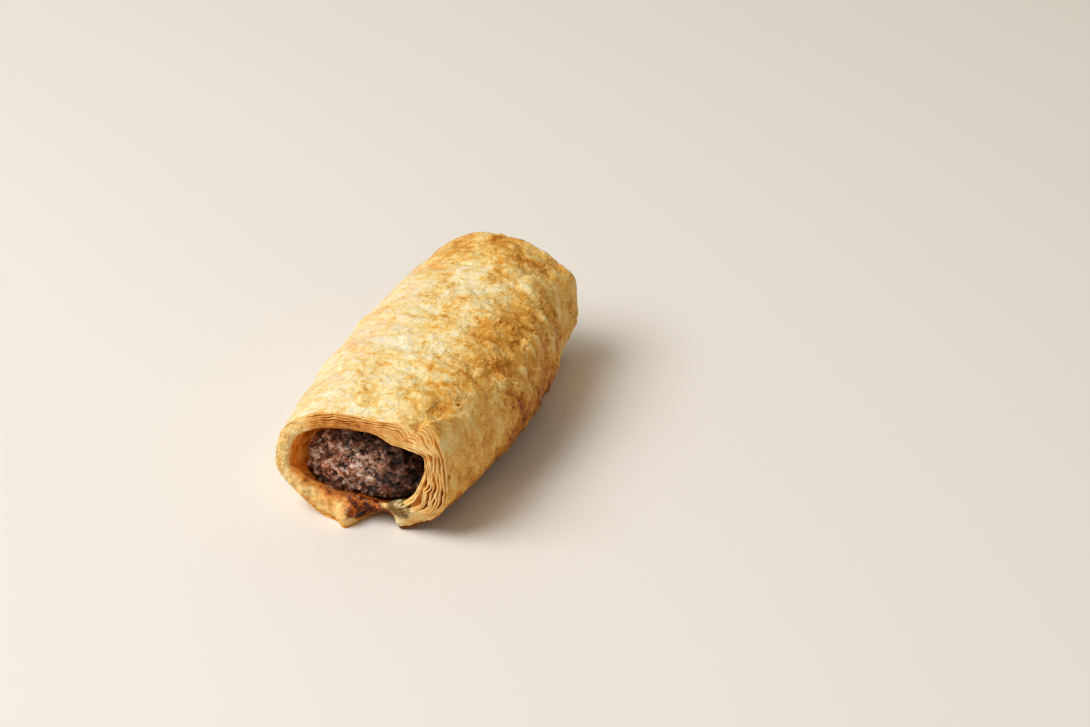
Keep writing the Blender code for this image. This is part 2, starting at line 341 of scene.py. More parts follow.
def skin(name, points, faces, material, masks, node=None):
    """A piece of the roll from points in its own frame. masks are what its material reads."""
    a, b, c, d = (points[faces[:, k]] for k in range(4))
    if np.einsum("ij,ij->", a, np.cross(b, c) + np.cross(c, d)) < 0:
        faces = faces[:, ::-1]
    mesh = bpy.data.meshes.new(name)
    mesh.from_pydata(points * MM + np.array(ROLL), [], faces.tolist())
    for mask, values in masks.items():
        attribute = mesh.attributes.new(mask, "FLOAT", "POINT")
        attribute.data.foreach_set("value", np.asarray(values, np.float32).ravel())
    mesh.shade_smooth()
    mesh.materials.append(material)
    mesh.validate()
    piece = bpy.data.objects.new(name, mesh)
    bpy.context.scene.collection.objects.link(piece)
    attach(piece, "root")
    if node:
        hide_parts(node)
    return piece


# ---------------------------------------------------------------- material helpers


def linear(colour):
    """An sRGB colour of 0 to 255 as the shader wants it."""
    part = np.array(colour) / 255
    part = np.where(part <= 0.04045, part / 12.92, ((part + 0.055) / 1.055) ** 2.4)
    return (*part, 1.0)


class Nodes:
    """A material's nodes, made and joined in one call each."""

    def __init__(self, name):
        self.material = bpy.data.materials.new(name)
        self.material.use_nodes = True
        self.tree = self.material.node_tree
        self.shader = self.tree.nodes["Principled BSDF"]
        self.spot = self.tree.nodes.new("ShaderNodeTexCoord").outputs["Object"]

    def wire(self, socket, value):
        if isinstance(value, bpy.types.NodeSocket):
            self.tree.links.new(value, socket)
        else:
            socket.default_value = value

    def mask(self, name):
        node = self.tree.nodes.new("ShaderNodeAttribute")
        node.attribute_name = name
        return node.outputs["Fac"]

    def noise(self, pitch, detail=4, stretch=(1, 1, 1), rough_by=0.6, distortion=0.0):
        """Noise about one pitch, in millimetres, from bump to bump."""
        mapping = self.tree.nodes.new("ShaderNodeMapping")
        mapping.inputs["Scale"].default_value = [1 / (pitch * MM * s) for s in stretch]
        self.wire(mapping.inputs["Vector"], self.spot)
        node = self.tree.nodes.new("ShaderNodeTexNoise")
        self.wire(node.inputs["Vector"], mapping.outputs["Vector"])
        settings = {"Scale": 1.0, "Detail": detail, "Roughness": rough_by, "Distortion": distortion}
        for key, value in settings.items():
            node.inputs[key].default_value = value
        return node.outputs["Fac"]

    def math(self, operation, a, b=0.0, c=0.0, clamp=False):
        node = self.tree.nodes.new("ShaderNodeMath")
        node.operation = operation
        node.use_clamp = clamp
        for socket, value in zip(node.inputs, (a, b, c)):
            self.wire(socket, value)
        return node.outputs["Value"]

    def spread(self, value, low_in, high_in, low_out=0.0, high_out=1.0):
        node = self.tree.nodes.new("ShaderNodeMapRange")
        node.interpolation_type = "SMOOTHSTEP"
        for socket, given in zip(node.inputs, (value, low_in, high_in, low_out, high_out)):
            self.wire(socket, given)
        return node.outputs["Result"]

    def ramp(self, value, stops):
        """Colours at places from 0 to 1."""
        node = self.tree.nodes.new("ShaderNodeValToRGB")
        self.wire(node.inputs["Fac"], value)
        elements = node.color_ramp.elements
        while len(elements) < len(stops):
            elements.new(0.5)
        for element, (place, colour) in zip(elements, stops):
            element.position = place
            element.color = linear(colour)
        return node.outputs["Color"]

    def blend(self, share, a, b, kind="MIX"):
        node = self.tree.nodes.new("ShaderNodeMix")
        node.data_type = "RGBA"
        node.blend_type = kind
        self.wire(node.inputs["Factor"], share)
        self.wire(node.inputs["A"], a)
        self.wire(node.inputs["B"], b)
        return node.outputs["Result"]

    def bump(self, height, distance, strength=1.0, under=None):
        node = self.tree.nodes.new("ShaderNodeBump")
        node.inputs["Distance"].default_value = distance * MM
        self.wire(node.inputs["Strength"], strength)
        self.wire(node.inputs["Height"], height)
        if under is not None:
            self.wire(node.inputs["Normal"], under)
        return node.outputs["Normal"]

    def finish(self, colour, roughness, normal, specular=0.5):
        self.wire(self.shader.inputs["Base Color"], colour)
        self.wire(self.shader.inputs["Roughness"], roughness)
        self.wire(self.shader.inputs["Normal"], normal)
        self.shader.inputs["Specular IOR Level"].default_value = specular
        return self.material


# ---------------------------------------------------------------- materials

CRUST_TONES = [
    (0.0, (255, 251, 232)), (0.2, (255, 242, 200)), (0.38, (253, 224, 150)), (0.56, (238, 180, 81)),
    (0.76, (199, 121, 32)), (1.0, (126, 68, 17)),
]


def crust_material():
    """Mottled, flaky crust: toast is how far it has browned, from cream to dark brown, with painted shade
    and painted highlights mixed in.

    The pattern is weaker where the mask browning says it has browned all over, and where calm
    says the dough is smooth. rosy warms the side that the light reaches first.
    """
    n = Nodes("baked_crust")
    browning = n.mask("browning")
    lace = n.math("MULTIPLY_ADD", n.noise(2.5, 8, (1.1, 1, 1.1), 0.72, 0.5), 1.3, -0.65)
    stroke = n.math("MULTIPLY_ADD", n.noise(1.7, 5, (1.8, 1, 1.6), 0.60, 0.8), 0.6, -0.3)
    pattern = n.math("MULTIPLY", lace, n.spread(browning, 0.0, 1.0, 1.0, 0.50))
    pattern = n.math("MULTIPLY_ADD", stroke, n.spread(browning, 0.0, 1.0, 0.30, 0.45), pattern)
    pattern = n.math("MULTIPLY", pattern, n.spread(n.mask("calm"), 0.0, 1.0, 1.0, 0.45))
    toast_and_painted_light = n.math("ADD", n.mask("toast_and_painted_light"), pattern)
    fleck = n.spread(n.noise(1.0, 3, (1.3, 1, 1)), 0.60, 0.72, 0.0, -0.12)
    toast_and_painted_light = n.math("MULTIPLY_ADD", fleck, n.spread(browning, 0.0, 1.0, 1.0, 0.2), toast_and_painted_light)
    sheets = n.math("MULTIPLY", n.noise(7.0, 7, (1.2, 1, 1.1), 0.64, 0.8), 12.0)
    part = n.math("FRACT", sheets)
    # Painted light at each sheet's edge: lighter just past the edge as a painted highlight, darker at the
    # foot before the next edge as painted shade.
    lip = n.spread(part, 0.0, 0.22, -0.07, 0.0)
    toast_and_painted_light = n.math("ADD", toast_and_painted_light, n.math("ADD", lip, n.spread(part, 0.80, 1.0, 0.0, 0.09)))
    speck = n.spread(n.noise(1.2, 3), 0.66, 0.76, 0.0, 0.14)
    toast_and_painted_light = n.math("ADD", toast_and_painted_light, speck, clamp=True)
    colour = n.ramp(toast_and_painted_light, CRUST_TONES)
    rosy = n.math("MULTIPLY", n.mask("rosy"), n.spread(n.noise(7.0, 5), 0.42, 0.62))
    colour = n.blend(rosy, colour, linear((255, 230, 216)), "MULTIPLY")
    normal = n.bump(n.noise(1.6, 6, (1.5, 1, 1.3), 0.62, 1.0), 0.42, 0.65)
    step = n.math("ADD", n.math("FLOOR", sheets), n.spread(part, 0.0, 0.15))
    normal = n.bump(step, 0.14, n.spread(n.mask("calm"), 0.0, 1.0, 0.8, 0.3), normal)
    normal = n.bump(n.noise(0.35, 3), 0.05, 0.35, normal)
    roughness = n.spread(n.noise(2.2, 4), 0.35, 0.65, 0.42, 0.62)
    return n.finish(colour, roughness, normal, 0.15)


DOUGH_TONES = [
    (0.0, (254, 236, 184)), (0.22, (249, 214, 142)), (0.45, (236, 174, 88)), (0.66, (206, 128, 50)),
    (0.84, (142, 72, 22)), (1.0, (66, 30, 10)),
]
AMBER_TONES = [(0.36, (196, 88, 16)), (0.5, (244, 136, 34)), (0.64, (255, 178, 84))]
SYRUP_TONES = [(0.36, (66, 20, 5)), (0.5, (140, 60, 10)), (0.64, (222, 132, 36))]
FAT_TONES = [(0.40, (120, 86, 34)), (0.5, (158, 128, 68)), (0.58, (218, 202, 156))]
PAINTED_GLOW = 0.13          # painted glow, standing in for light that comes through the thin, fat-soaked side of the hollow


def dough_material():
    """Cut leaves and the hollow: baked from pale to brown, juice and grease over the dough, painted shade
    and a painted glow.
    """
    n = Nodes("baked_layers")
    fine = n.math("MULTIPLY_ADD", n.noise(1.1, 6, rough_by=0.7), 0.7, -0.35)
    bake = n.math("ADD", n.mask("bake"), fine, clamp=True)
    colour = n.ramp(bake, DOUGH_TONES)
    amber = n.ramp(n.noise(2.4, 5), AMBER_TONES)
    colour = n.blend(n.mask("amber"), colour, amber)
    juice = n.spread(n.math("MULTIPLY_ADD", fine, 1.2, n.mask("juice")), 0.2, 0.75)
    syrup = n.ramp(n.noise(1.5, 5), SYRUP_TONES)
    # The burst bubble in the tab, painted as a near-black spot.
    syrup = n.blend(n.spread(n.mask("juice"), 1.05, 1.35), syrup, linear((40, 16, 8)))
    colour = n.blend(juice, colour, syrup)
    grease = n.spread(n.math("ADD", n.mask("grease"), fine), 0.35, 0.6)
    fat = n.ramp(n.noise(3.2, 2), FAT_TONES)
    colour = n.blend(grease, colour, fat)
    # Painted glow: the amber side of the hollow emits its own colour, for light coming through the wall.
    n.wire(n.shader.inputs["Emission Color"], amber)
    n.wire(n.shader.inputs["Emission Strength"], n.math("MULTIPLY", n.mask("amber"), PAINTED_GLOW))
    wet = n.math("MAXIMUM", juice, grease)
    wet = n.math("MAXIMUM", wet, n.mask("damp"))
    normal = n.bump(n.noise(0.7, 6), 0.35, 0.6)
    roughness = n.spread(wet, 0.0, 1.0, 0.66, 0.3)
    return n.finish(colour, roughness, normal, 0.3)


MEAT_TONES = [
    (0.0, (26, 10, 5)), (0.22, (64, 27, 13)), (0.44, (120, 63, 36)), (0.64, (160, 97, 64)),
    (0.84, (200, 146, 112)), (1.0, (238, 206, 184)),
]


def meat_material():
    """Charred mince: black pits and reddish-brown flesh, with painted highlights and glints on the high
    spots and painted shade in the hollows.
    """
    n = Nodes("browned_meat")
    grain = n.math("MULTIPLY_ADD", n.noise(0.8, 3, rough_by=0.6), 1.4, -0.7)
    fine = n.math("MULTIPLY_ADD", n.noise(3.4, 8, rough_by=0.74, distortion=0.6), 3.6, -1.80)
    height = n.math("ADD", n.mask("height"), n.math("ADD", fine, grain), clamp=True)
    colour = n.ramp(height, MEAT_TONES)
    rust = n.spread(n.noise(2.6, 5), 0.54, 0.62, 0.0, 0.6)
    colour = n.blend(rust, colour, linear((244, 150, 100)), "MULTIPLY")
    # Partly char, partly painted shade on the meat's right, top, bottom and left edge.
    colour = n.blend(n.mask("char_and_shade"), colour, linear((92, 40, 18)), "MULTIPLY")
    # Painted glints: near-white specks in patches at the centre-left, where the light falls.
    patch = n.math("MULTIPLY", n.spread(n.noise(4.5, 4), 0.42, 0.54), n.mask("pale"))
    glint = n.spread(n.noise(1.5, 6, rough_by=0.74), 0.50, 0.56, 0.0, 1.0)
    colour = n.blend(n.math("MULTIPLY", glint, patch), colour, linear((248, 230, 222)))
    pit = n.spread(n.noise(3.0, 5), 0.42, 0.37, 0.0, 0.92)
    colour = n.blend(pit, colour, linear((26, 11, 7)))
    normal = n.bump(n.noise(1.2, 6, rough_by=0.66), 0.9, 1.0)
    roughness = n.spread(n.noise(1.2, 5), 0.40, 0.60, 0.16, 0.45)
    return n.finish(colour, roughness, normal, 0.4)


# ---------------------------------------------------------------- the crust

CRUST_COLUMNS, CRUST_ROWS = 440, 206
CRUST_SINK = 0.30                       # brings the relief's high spots back to the outline
UNDER_DEPTH = (0.45, 1.8)               # of the crust's hidden side, at the rims and along the body
HIDDEN_SHARES = (                       # rows that nobody sees, close together where the crease bends
    0.01, 0.02, 0.035, 0.055, 0.08, 0.11, 0.15, 0.2, 0.3, 0.5, 0.7, 0.85, 0.93, 0.97, 0.99,
)


def terraces(spots, pitch, seed):
    """Overlapping sheets: how many lie below a point, and the share of the way to the next edge."""
    height = rough(spots, pitch, 4, seed) * 3.2
    return np.floor(height), height - np.floor(height)


def relief(spots, angle, share):
    """How high the crust stands over its outline, and its toast, browning, calm and rosy masks. toast also
    carries painted shade and painted highlights.
    """
    z = spots[..., 2]
    left = between(angle, 116, 250, 18)
    right = between(angle, -80, 58, 14)
    plain = between(angle, -80, 40, 12) * (smooth(0.42, 0.20, share) + 0.8 * smooth(0.78, 0.9, share))
    top = (1 - left) * (1 - right)
    warp = np.stack([rough(spots, 8.0, 2, seed) for seed in (3, 4, 5)], -1)
    blister = (0.26 + 0.26 * top + 0.16 * right) * rough(spots, 12.0, 3, 1)
    wrinkle = 1 - 1.7 * abs(ripple(spots + 2.4 * warp, (8.0, 1.9, 6.5), 11))
    crinkle = 1 - 1.7 * abs(ripple(spots + 1.6 * warp, (4.6, 1.0, 3.6), 12))
    lines = (0.05 + 0.05 * left + 0.02 * right) * wrinkle + (0.03 + 0.03 * left) * crinkle
    grain = (0.06 * top + 0.02 + 0.02 * right - 0.02 * plain) * rough(spots + 0.7 * warp, 2.0, 3, 13)
    ragged = spots + 1.4 * warp + 0.30 * np.stack([ripple(spots, 1.6, seed) for seed in (6, 7, 8)], -1)
    level, part = terraces(ragged, (13.0, 8.5, 11.0), 21)
    flaky = 0.09 + 0.17 * right * (1 - 0.7 * plain) + 0.10 * top
    lip = bell(part - 0.10, 0.08)
    sheets = flaky * (level + smooth(0.0, 0.08, part) + 0.6 * lip)
    middle, _, chosen = lumps(spots + 0.8 * warp, 6.5, 45)
    bubbly = (0.25 * top + right + 0.3 * smooth(0.6, 0.9, share)) * (1 - 0.75 * plain) * (chosen > 0.35)
    dome = bubbly * smooth(0.62, 0.08, middle)
    fold = 1 - 1.6 * abs(rough(spots + 1.5 * warp, (16.0, 10.0, 14.0), 2, 47))
    dent = (0.15 + 0.4 * top + 0.6 * right * (1 - 0.6 * plain)) * smooth(0.3, 1.0, fold)
    height = blister + lines + grain + sheets + 0.6 * dome - 0.55 * dent
    patches = rough(spots + 1.8 * warp, 9.0, 4, 31)
    streaks = rough(spots + 2.2 * warp, (7.0, 3.0, 6.0), 4, 35)
    toast_and_painted_light = 0.30 - 0.05 * left
    toast_and_painted_light = toast_and_painted_light + 0.36 * right * smooth(34.0, 18.0, z) + 0.255 * right * smooth(18.0, 34.0, z)
    toast_and_painted_light = toast_and_painted_light - 0.09 * plain
    toast_and_painted_light = toast_and_painted_light + (0.19 * top + 0.09 * left + 0.15 * right - 0.04 * plain) * patches
    # Painted light in toast: lighter on high grain, lifted lips and bubble domes as painted highlights,
    # darker in dents and at the foot of each sheet's edge as painted shade.
    toast_and_painted_light = toast_and_painted_light + (0.04 + 0.06 * left + 0.05 * right) * streaks - 0.5 * grain
    toast_and_painted_light = toast_and_painted_light + (0.10 + 0.10 * right) * smooth(0.84, 1.0, part) * (1 - 0.5 * plain)
    toast_and_painted_light = toast_and_painted_light - (0.12 + 0.04 * right) * lip - 0.07 * dome + 0.10 * dent
    # Painted shade on the lower right side, which is turned from the light.
    low_right_shade = right * smooth(22.0, 8.0, z) * smooth(0.22, 0.36, share) * smooth(0.8, 0.6, share)
    toast_and_painted_light = toast_and_painted_light + 0.26 * smooth(0.68, 0.92, share) * (1 - 0.5 * right)
    toast_and_painted_light = toast_and_painted_light - 0.17 * right * smooth(0.62, 0.88, share)
    # Darker towards the bottom all round, and on the right, low down and towards the near rim, painted
    # shade on the side turned from the light.
    toast_and_painted_light = toast_and_painted_light + 0.24 * low_right_shade + 0.34 * smooth(9.0, 2.0, z) + 0.12 * right * smooth(16.0, 6.0, z)
    toast_and_painted_light = toast_and_painted_light + 0.24 * right * smooth(0.30, 0.16, share) * smooth(14.0, 5.0, z)
    near, _, owner = lumps(spots, 5.5, 41)
    pit = smooth(0.13, 0.06, near) * (owner > 0.62) * (0.3 + 0.7 * right)
    browning = np.clip(right + 0.5 * smooth(0.7, 0.95, share), 0, 1)
    return height - 0.35 * pit, toast_and_painted_light + 0.5 * pit, browning, plain, left


def make_crust():
    """A closed shell: its outside carries the relief, and its inside is plain and hidden."""
    share = np.concatenate([[0.0], (np.arange(CRUST_ROWS - 2) + 1) / (CRUST_ROWS - 1), [1.0]])
    angle = np.stack([angles(CRUST_COLUMNS, s) for s in share])
    spots = crust_points(angle, share[:, None])
    faces = grid_faces(CRUST_ROWS, CRUST_COLUMNS, False)
    normal = outward(normals_of(spots.reshape(-1, 3), faces).reshape(spots.shape), spots)
    height, toast_and_painted_light, browning, calm, rosy = relief(spots, angle, share[:, None])
    level = smooth(0.0, 5.0, spots[..., 2])
    spots = spots + normal * ((height - CRUST_SINK) * level)[..., None]
    spots[..., 2] = np.maximum(spots[..., 2], 0.0)
    rows = np.array((NEAR, *HIDDEN_SHARES, FAR))[::-1]
    pick = np.round(rows * (CRUST_ROWS - 1)).astype(int)
    depth = mix(*UNDER_DEPTH, smooth(0.0, 0.05, np.minimum(rows, 1 - rows)))[:, None, None]
    under = spots[pick] - normal[pick] * depth
    under[..., 2] = np.maximum(under[..., 2], 0.25)
    points = np.concatenate([spots, under]).reshape(-1, 3)
    faces = grid_faces(CRUST_ROWS + len(rows), CRUST_COLUMNS, True)
    masks = {"toast_and_painted_light": toast_and_painted_light, "browning": browning, "calm": calm, "rosy": rosy}
    masks = {mask: np.concatenate([values, values[pick]]) for mask, values in masks.items()}
    return skin("pastry_crust", points, faces, crust_material(), masks, "pastry")


def crust_points(angle, share):
    x, z = outer(angle, share)
    y = (share - 0.5) * LENGTH + np.zeros_like(x)
    y = y + rim_offset(x, z, NEAR, 1.0) * (1 - share) ** RIM_REACH
    y = y - rim_offset(x, z, FAR, 1.0) * share**RIM_REACH
    return np.stack([x, y, z], -1)


def outward(normal, spots):
    """The normals turned to point away from the roll's axis."""
    away = spots - np.array([0.0, 0.0, WAIST_HEIGHT])
    away[..., 1] = 0
    facing = np.sign((normal * away).sum(-1, keepdims=True))
    return normal * np.where(facing == 0, 1, facing)


# ---------------------------------------------------------------- rims and hollow

LEAVES, LAYER_COLUMNS, INNER_ROWS = 10, 440, 50
LEAF_ROWS = ((0.0, 0.14), (0.14, 0.03), (0.5, 0.0), (0.86, 0.03), (1.0, 0.14))
GAP_ROWS = (0.08, 0.5, 0.92)
EDGE = 0.45                             # thickness of the crust, which is the outermost leaf
NEAR_FAN, NEAR_PRESSED, NEAR_FUSED = (-34, 36), (36, 72), (72, 138)      # in degrees
FAR_FAN, FAR_FUSED = (-40, 30), (30, 150)
CAVITY_ANGLE, CAVITY_WIDTH = math.radians(-17), math.radians(14)         # one gap that gapes
PINCH_WIDTHS = math.radians(6), math.radians(5)
INSET = (0.7, 2.4)                      # of the hidden shell, at the rims and along the body
CREASE_INSET, CREASE_INSET_WIDTH = 1.2, math.radians(16)
INNER_REACH = 30.0                      # how far in from each rim the hollow has rows
AMBER_ANGLES = (112, 192)
FILL, FILL_RUN, LIP_STEP = 0.95, 2.0, 0.3     # how far the near mouth's floor fills to the sausage
FILL_ANGLES = (192, 318)
BUBBLE_X, BUBBLE_Z = -1.6, 2.6          # where a burst bubble in the tab is painted as a near-black spot


def rim_zones(angle, end):
    """Where round a rim the leaves fan out, are pressed in the crease, or have fused on top."""
    if end == FAR:
        return 0.75 * between(angle, *FAR_FAN, 10), 0.0 * angle, between(angle, *FAR_FUSED, 14)
    zones = ((NEAR_FAN, 8), (NEAR_PRESSED, 6), (NEAR_FUSED, 10))
    return tuple(between(angle, *zone, soft) for zone, soft in zones)


def leaf_layout(track, wall, end, angle):
    """Each leaf's thickness, the gap over it, how deep and open that gap is, and how it stands. How open a
    gap is also sets how much shade is painted in it.
    """
    fan, pressed, fused = rim_zones(angle, end)
    plain = 1 - np.clip(fan + pressed + fused, 0, 1)
    leaf, gap, groove, opened, stand = [], [], [], [], []
    for k in range(LEAVES):
        place = (k + 1) / LEAVES
        leaf.append(1 + 0.42 * ripple(track, 7.5, 200 + k) + 0.10 * ripple(track, 2.6, 210 + k))
        stand.append((0.2 + 0.4 * fan) * ripple(track, 6.0, 240 + k) + 0.10 * ripple(track, 1.6, 260 + k))
        chance = ripple(track, 8.0, 220 + k) + 0.35 * ripple(track, 3.0, 230 + k)
        outer_half = smooth(0.42, 0.62, place)
        scarce = 0.4 * between(angle, -90, -10, 10)
        there = fan * smooth(-0.25, 0.25, chance - scarce) + pressed * smooth(-0.5, 0.15, chance)
        there += (
            fused * smooth(-0.35, 0.1, chance) * outer_half
            + plain * smooth(0.1, 0.5, chance) * 0.3 * outer_half
        )
        width = 0.62 * fan * (1 + 0.9 * ripple(track, 8.0, 280 + k)) + 0.38 * pressed + 0.36 * fused
        opened.append(there)
        gap.append(0.05 + np.maximum(width, 0.05) * there)
        groove.append(0.06 + there * (2.6 * fan + 2.3 * pressed + 2.2 * fused + 0.5 * plain))
    if end == NEAR:
        cavity = bell(turn(angle - CAVITY_ANGLE), CAVITY_WIDTH)
        gap[1] = gap[1] + 2.0 * cavity
        groove[1] = groove[1] + 2.8 * cavity
        opened[1] = np.maximum(opened[1] * (1 - cavity), 0.42 * cavity)
    leaf, gap = np.maximum(leaf, 0.3), np.array(gap[:-1])
    leaf = leaf * np.maximum(wall - EDGE - gap.sum(0), 1.0) / leaf.sum(0)
    scale = (wall - EDGE) / (leaf.sum(0) + gap.sum(0))
    return leaf * scale, gap * scale, groove, opened, stand


def rim(end):
    """Rows of a rim's face from inside to outside, as angle, x, z, depth, mm into the roll, and dark, the
    painted shade in the gaps between leaves.
    """
    angle = angles(LAYER_COLUMNS, end)
    inside, outside = np.stack(hollow(angle, end), -1), np.stack(outer(angle, end), -1)
    wall = np.linalg.norm(outside - inside, axis=-1)
    middle = (inside + outside) / 2
    track = np.stack([middle[:, 0], np.full_like(wall, 40 * end), middle[:, 1]], -1)
    fan, pressed, fused = rim_zones(angle, end)
    plain = 1 - np.clip(fan + pressed + fused, 0, 1)
    leaf, gap, groove, opened, stand = leaf_layout(track, wall, end, angle)
    rows, run = [], np.zeros_like(wall)
    for k in range(LEAVES):
        for share, drop in LEAF_ROWS:
            rows.append((run + leaf[k] * share, stand[k] + drop * (0.5 + fan), np.zeros_like(wall)))
        run = run + leaf[k]
        if k < LEAVES - 1:
            for share in GAP_ROWS:
                rows.append((run + gap[k] * share, stand[k] + groove[k], opened[k]))
            run = run + gap[k]
    depth, into, dark = (np.array([row[i] for row in rows]) for i in range(3))
    depth = depth / wall
    sway = 0.40 * fan * ripple(track, 6.0, 291) + 0.50 * (pressed + 0.8 * fused) * ripple(track, 3.6, 292)
    past = turn(angle - CREASE_ANGLE)
    pinch = 1.3 * bell(past - RIDGE_ANGLE, PINCH_WIDTHS[0]) - 1.2 * bell(past, PINCH_WIDTHS[1])
    sway = sway + (end == NEAR) * pinch
    depth = depth + sway / wall * np.sin(np.pi * depth) * 0.9
    plan = inside[None] + (outside - inside)[None] * depth[..., None]
    x, z = plan[..., 0], plan[..., 1]
    crumb = np.stack([x, np.full_like(x, end * 50), z], -1)
    coarse = 0.10 + 0.55 * plain
    into = into + coarse * rough(crumb, 2.6, 3, 300) + 0.5 * coarse * ripple(crumb, 0.8, 301)
    edge = abs(2 * depth - 1)
    into = into + (0.9 + 0.7 * plain) * edge**3.5 - 0.6 + rim_offset(x, z, end, depth)
    return angle, x, z, depth, into, dark


def rim_bake(angle, spot, depth, dark, end):
    """How far the cut faces have browned, with painted shade in the gaps between leaves and under the
    notch's arch.
    """
    x, z, near = spot[..., 0], spot[..., 2], end == NEAR
    fan, pressed, fused = rim_zones(angle, end)
    # dark adds painted shade in the gaps between leaves.
    bake = 0.35 + 0.17 * rough(spot, 3.2, 3, 310) + (0.60 + 0.28 * (fused + pressed)) * dark
    bake = bake + 0.16 * fused * smooth(0.8, 0.4, depth) + 0.09 * fused - 0.05 * fan
    bake = bake - 0.13 * between(angle, 138, 200, 10)
    low_left = between(angle, 185, 268, 12)
    flap = near * bell(x - FLAP_X, 1.4) * smooth(0.3, 0.6, depth) * smooth(9, 6, z)
    drips = near * between(angle, 60, 150, 10) * smooth(0.14, 0.0, depth)
    bake = bake + 0.6 * drips * smooth(-0.2, 0.4, ripple(spot, 2.6, 311))
    # Under the notch's arch: partly painted shade, partly a browner edge.
    arch = near * plateau(x - 4.2, 4.6) * smooth(7.5, 5.0, z)
    bake = bake + 0.34 * arch
    return bake - 0.02 * low_left + 0.46 * low_left * smooth(0.30, 0.0, depth) - 0.40 * flap


def amber_wall(angle):
    """The side of the near hollow that fat has turned amber, which also gets a painted glow."""
    return between(angle, *AMBER_ANGLES, 8)


def fuller(angle, into):
    """How much wider the sausage's near end is at its lower left."""
    return 1 + CAP_SWELL * bell(turn(angle - CAP_SWELL_ANGLE), CAP_SWELL_WIDTH) * smooth(24.0, 8.0, into)


def filled(angle, x, z, into):
    """The hollow's wall brought up to the sausage's rounded end, into mm behind the near rim."""
    back = np.clip((into - (LENGTH - SAUSAGE_LENGTH) / 2) / SAUSAGE_DOME, 0, 1)
    shrink = np.sin(np.arccos((1 - back) ** (DOME_POWER / 2))) ** (2 / DOME_POWER)
    end = shrink * superellipse(angle, *SAUSAGE_HALF, SAUSAGE_POWER) * fuller(angle, into)
    lip_x, lip_z = hollow(angle, 0.0)
    lip = np.hypot(lip_x - SAUSAGE_X, lip_z - SAUSAGE_Z) + LIP_STEP
    reach = np.hypot(x - SAUSAGE_X, z - SAUSAGE_Z)
    share = FILL * between(angle, *FILL_ANGLES, 8) * smooth(0.0, FILL_RUN, into) * smooth(20.0, 12.0, into)
    reach = mix(reach, np.minimum(reach, np.maximum(end, lip)), share)
    return SAUSAGE_X + reach * np.cos(angle), SAUSAGE_Z + reach * np.sin(angle), share


def hidden_shell():
    """(x, y, z) of the rows under the crust that join the two rims."""
    share = np.array(HIDDEN_SHARES)[:, None]
    turned = np.stack([angles(LAYER_COLUMNS, s) for s in share[:, 0]])
    wide, along, tall = np.moveaxis(crust_points(turned, share), -1, 0)
    reach = np.hypot(wide, tall - WAIST_HEIGHT)
    inset = mix(*INSET, smooth(0.0, 0.08, np.minimum(share, 1 - share)))
    at_crease = bell(turn(turned - crease_angle(share)), CREASE_INSET_WIDTH) * smooth(0.3, 0.1, share)
    inset = 1 - (inset + CREASE_INSET * at_crease * smooth(0.0, 0.03, share)) / reach
    return wide * inset, along, np.maximum(WAIST_HEIGHT + (tall - WAIST_HEIGHT) * inset, 0.5)


def hollow_wall(lips):
    """(x, y, z) of the hollow's rows from the far rim to the near one, and their masks.

    lips is how far the inner edges of the near and the far rim stand in from their planes.
    """
    half = INNER_ROWS // 2
    deep = INNER_REACH * (np.arange(1, half + 1) / half) ** 1.5
    share = np.concatenate([1 - deep / LENGTH, deep[::-1] / LENGTH])[:, None]
    turned = np.stack([angles(LAYER_COLUMNS, s) for s in share[:, 0]])
    x, z = hollow(turned, share)
    y = (share - 0.5) * LENGTH + np.zeros_like(x)
    y = y + lips[0] * (1 - share) ** RIM_REACH - lips[1] * share**RIM_REACH
    into = np.maximum(y + LENGTH / 2, 0)
    x, z, snug = filled(turned, x, z, into)
    spot = np.stack([x, y, z], -1)
    inward = to_mouth(share)
    bumpy = (0.3 + 0.15 * snug) * rough(spot, 4.0, 3, 320) * smooth(0.0, 1.5, inward)
    x, z = x + bumpy * np.cos(turned), z + bumpy * np.sin(turned)
    juice, grease = spills(spot, 0.0)
    return (x, y, z), {
        "bake": 0.58 + 0.16 * rough(spot, 5.0, 3, 321) - 0.15 * smooth(1.5, 0.0, inward) + 0.22 * snug,
        "juice": juice,
        "grease": grease,
        "damp": 0.8 * smooth(0.0, 3.0, inward),
        "amber": amber_wall(turned) * smooth(0.2, 1.2, inward) * (share < 0.5),
    }


def make_layers():
    """One closed piece: near rim, a hidden shell under the crust, far rim, and the hollow."""
    parts, masks = [], {"bake": [], "juice": [], "grease": [], "damp": [], "amber": []}

    def add(x, y, z, **given):
        parts.append(np.stack(np.broadcast_arrays(x, y, z), -1))
        for mask in masks:
            masks[mask].append(np.broadcast_to(given.get(mask, 0.0), parts[-1].shape[:-1]))

    lips = []
    for end in (NEAR, FAR):
        angle, x, z, depth, into, dark = rim(end)
        lips.append(into[0])
        y = (end - 0.5) * LENGTH + (into if end == NEAR else -into)
        spot = np.stack([x, y, z], -1)
        bake = rim_bake(angle, spot, depth, dark, end)
        if end == NEAR:
            juice, grease = spills(spot, depth)
            amber = amber_wall(angle) * smooth(0.1, 0.0, depth)
            add(x, y, z, bake=bake, juice=juice, grease=grease, amber=amber)
            add(*hidden_shell(), bake=0.6)
        else:
            add(x[::-1], y[::-1], z[::-1], bake=bake[::-1])
    wall, looks = hollow_wall(lips)
    add(*wall, **looks)
    points = np.concatenate(parts)
    faces = grid_faces(len(points), LAYER_COLUMNS, True)
    masks = {mask: np.concatenate(values) for mask, values in masks.items()}
    return skin("pastry_layers", points.reshape(-1, 3), faces, dough_material(), masks, "pastry")


